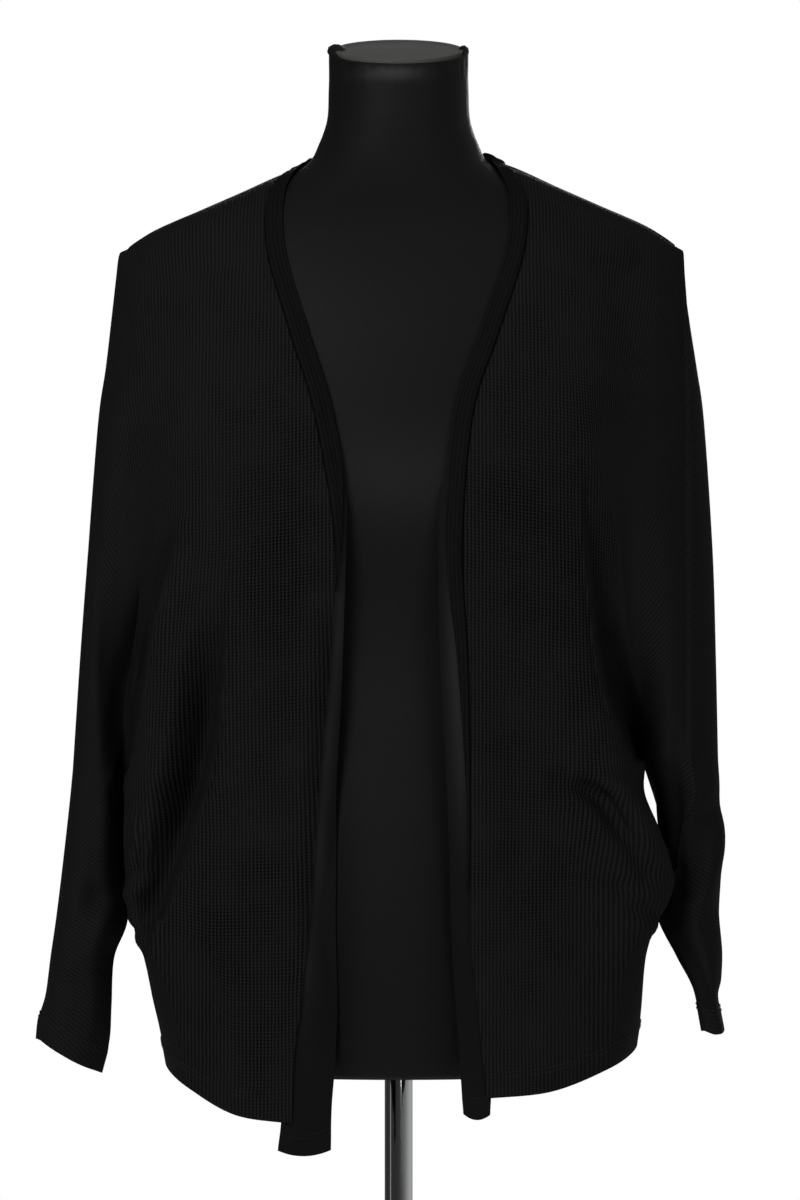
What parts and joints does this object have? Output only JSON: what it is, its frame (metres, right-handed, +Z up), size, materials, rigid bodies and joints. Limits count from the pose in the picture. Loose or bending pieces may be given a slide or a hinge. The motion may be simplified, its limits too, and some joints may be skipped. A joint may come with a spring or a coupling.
{
  "type": "cardigan on a dress form",
  "caption": "Open-front batwing cardigan in fine openwork rib knit, with a narrow edge band and smooth hanging edge strips, draped on a limbless dress form with a pole and a round base.",
  "frame": {"origin": "middle of the base's flat underside, on the floor under the pole", "axes": "+Z up, -Y the way the garment faces, +X the wearer's left"},
  "size_m": [0.5156, 0.32, 1.4882],
  "materials": {
    "knit": "fine black openwork rib knit",
    "smooth_edge": "plain black knit, smooth side out",
    "jersey": "black stretch jersey cover",
    "cap": "matte grey cloth-covered plate",
    "chrome": "polished",
    "steel": "satin"
  },
  "bodies": {
    "root": {"front_left": "knit", "front_right": "knit", "back": "knit", "band_left": "knit", "band_right": "knit", "strip_left": "smooth_edge", "strip_right": "smooth_edge", "dress_form": "jersey", "neck_cap": "cap", "pole": "chrome", "base": "steel"}
  },
  "joints": []
}
